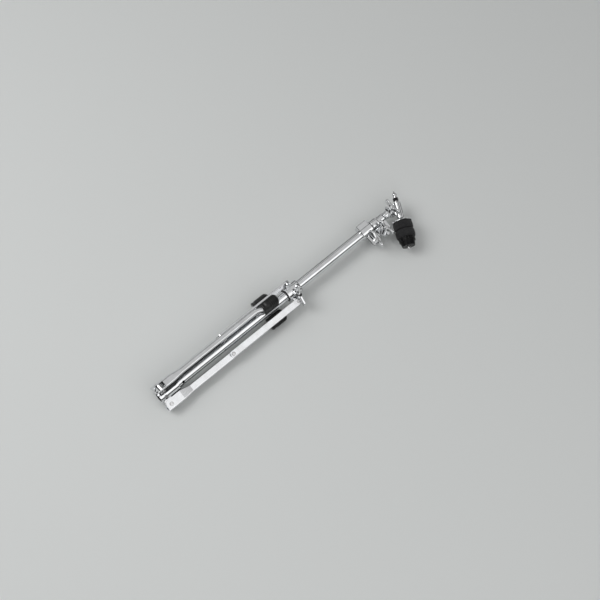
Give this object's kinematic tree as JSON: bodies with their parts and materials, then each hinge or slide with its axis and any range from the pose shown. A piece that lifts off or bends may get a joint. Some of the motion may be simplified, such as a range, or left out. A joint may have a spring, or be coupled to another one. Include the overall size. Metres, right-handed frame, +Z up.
{
  "type": "cymbal boom stand",
  "caption": "Folding cymbal stand with a flat tripod base, telescoping tubes, a boom that hides in the mast, and a tilter with felts and a push nut, shown folded.",
  "frame": {"origin": "middle of the folded stand's bounding box, on its lowest level (the floor it lies on)", "axes": "+X along the tubes from the foot end to the cymbal end, +Z up from the floor the folded stand lies on"},
  "size_m": [0.6646, 0.1306, 0.0712],
  "materials": {
    "tube_chrome": "polished chrome plate on drawn tube",
    "pressed_chrome": "chrome plate on pressed steel",
    "cast_chrome": "chrome plate on castings",
    "steel_fasteners": "plated steel",
    "foot_rubber": "matt moulded rubber",
    "black_nylon": "moulded nylon",
    "nut_plastic": "satin moulded plastic",
    "felt": "pressed wool felt"
  },
  "bodies": {
    "base": {"base_tube": "tube_chrome", "base_bracket": "cast_chrome", "bracket_screw": "steel_fasteners", "leg_pin_a": "steel_fasteners", "leg_pin_b": "steel_fasteners", "leg_pin_c": "steel_fasteners", "tube_clamp": "cast_chrome", "clamp_bush": "black_nylon", "clamp_ring": "cast_chrome", "clamp_bolt": "steel_fasteners"},
    "leg_a": {"leg_a": "pressed_chrome", "foot_a": "foot_rubber", "strut_pin_a": "steel_fasteners"},
    "strut_a": {"strut_a": "pressed_chrome", "collar_pin_a": "steel_fasteners"},
    "leg_b": {"leg_b": "pressed_chrome", "foot_b": "foot_rubber", "strut_pin_b": "steel_fasteners"},
    "strut_b": {"strut_b": "pressed_chrome", "collar_pin_b": "steel_fasteners"},
    "leg_c": {"leg_c": "pressed_chrome", "foot_c": "foot_rubber", "strut_pin_c": "steel_fasteners"},
    "strut_c": {"strut_c": "pressed_chrome", "collar_pin_c": "steel_fasteners"},
    "collar": {"sliding_collar": "cast_chrome", "collar_bush": "black_nylon"},
    "collar_wing_bolt": {"collar_wing_bolt": "cast_chrome"},
    "clamp_wing_nut": {"clamp_wing_nut": "cast_chrome"},
    "mast": {"mast_tube": "tube_chrome", "mast_guide": "black_nylon", "boom_tilter_base": "cast_chrome", "boom_sleeve": "cast_chrome", "boom_bush": "black_nylon", "boom_bolt": "steel_fasteners", "boom_spacer": "cast_chrome"},
    "boom_wing_nut": {"boom_wing_nut": "cast_chrome"},
    "boom": {"boom_rod": "tube_chrome", "boom_guide": "black_nylon", "tilter_lower": "cast_chrome", "tilter_bolt": "steel_fasteners"},
    "tilter_wing_nut": {"tilter_wing_nut": "cast_chrome"},
    "cymbal_head": {"tilter_upper": "cast_chrome", "cymbal_rod": "steel_fasteners", "rod_locknut": "black_nylon", "rod_end_cap": "cast_chrome", "seat_washer": "pressed_chrome", "rod_sleeve": "black_nylon", "lower_felt": "felt", "upper_felt": "felt"},
    "cymbal_nut": {"cymbal_nut": "nut_plastic"}
  },
  "joints": [
    {"name": "leg_a_fold", "type": "hinge", "parent": "base", "child": "leg_a", "pos_m": [-0.32029, 0.00278, 0.01905], "axis": [0, 0.3746, -0.9272], "range_deg": [0, 90]},
    {"name": "strut_a_hinge", "type": "hinge", "parent": "leg_a", "child": "strut_a", "pos_m": [-0.15829, 0.00278, 0.01905], "axis": [0, 0.3746, -0.9272], "range_deg": [-157, 0]},
    {"name": "leg_b_fold", "type": "hinge", "parent": "base", "child": "leg_b", "pos_m": [-0.32029, 0.02944, 0.05317], "axis": [0, -0.9903, 0.1392], "range_deg": [0, 90]},
    {"name": "strut_b_hinge", "type": "hinge", "parent": "leg_b", "child": "strut_b", "pos_m": [-0.15829, 0.02944, 0.05317], "axis": [0, -0.9903, 0.1392], "range_deg": [-157, 0]},
    {"name": "leg_c_fold", "type": "hinge", "parent": "base", "child": "leg_c", "pos_m": [-0.32029, 0.04566, 0.01302], "axis": [0, 0.6157, 0.788], "range_deg": [0, 90]},
    {"name": "strut_c_hinge", "type": "hinge", "parent": "leg_c", "child": "strut_c", "pos_m": [-0.15829, 0.04566, 0.01302], "axis": [0, 0.6157, 0.788], "range_deg": [-157, 0]},
    {"name": "collar_slide", "type": "slide", "parent": "base", "child": "collar", "axis": [-1, 0, 0], "range_m": [0, 0.26922]},
    {"name": "collar_wing_turn", "type": "hinge", "parent": "collar", "child": "collar_wing_bolt", "pos_m": [0.02371, 0.01335, 0.03827], "axis": [0, -0.788, 0.6157], "continuous": true},
    {"name": "clamp_wing_turn", "type": "hinge", "parent": "base", "child": "clamp_wing_nut", "pos_m": [0.23107, -0.00375, 0.02424], "axis": [0, -0.1392, 0.9903], "continuous": true},
    {"name": "height_slide", "type": "slide", "parent": "base", "child": "mast", "axis": [1, 0, 0], "range_m": [0, 0.38]},
    {"name": "boom_wing_turn", "type": "hinge", "parent": "mast", "child": "boom_wing_nut", "pos_m": [0.25971, 0.00021, 0.0248], "axis": [0, -0.1392, 0.9903], "continuous": true},
    {"name": "boom_slide", "type": "slide", "parent": "mast", "child": "boom", "axis": [1, 0, 0], "range_m": [0, 0.3]},
    {"name": "tilter_wing_turn", "type": "hinge", "parent": "boom", "child": "tilter_wing_nut", "pos_m": [0.30101, 0.02596, 0.02842], "axis": [0, -0.1392, 0.9903], "continuous": true},
    {"name": "cymbal_tilt", "type": "hinge", "parent": "boom", "child": "cymbal_head", "pos_m": [0.30101, 0.02596, 0.02842], "axis": [0, -0.1392, 0.9903], "range_deg": [0, 115]},
    {"name": "cymbal_nut_lift", "type": "slide", "parent": "cymbal_head", "child": "cymbal_nut", "axis": [-0.454, -0.8823, -0.124], "range_m": [0, 0.03]}
  ],
  "couplings": [
    {"joint": "strut_a_hinge", "follows": "leg_a_fold", "ratio": -1.7444},
    {"joint": "leg_b_fold", "follows": "leg_a_fold", "ratio": 1},
    {"joint": "strut_b_hinge", "follows": "leg_a_fold", "ratio": -1.7444},
    {"joint": "leg_c_fold", "follows": "leg_a_fold", "ratio": 1},
    {"joint": "strut_c_hinge", "follows": "leg_a_fold", "ratio": -1.7444},
    {"joint": "collar_slide", "follows": "leg_a_fold", "m_per_rad": 0.17138}
  ]
}
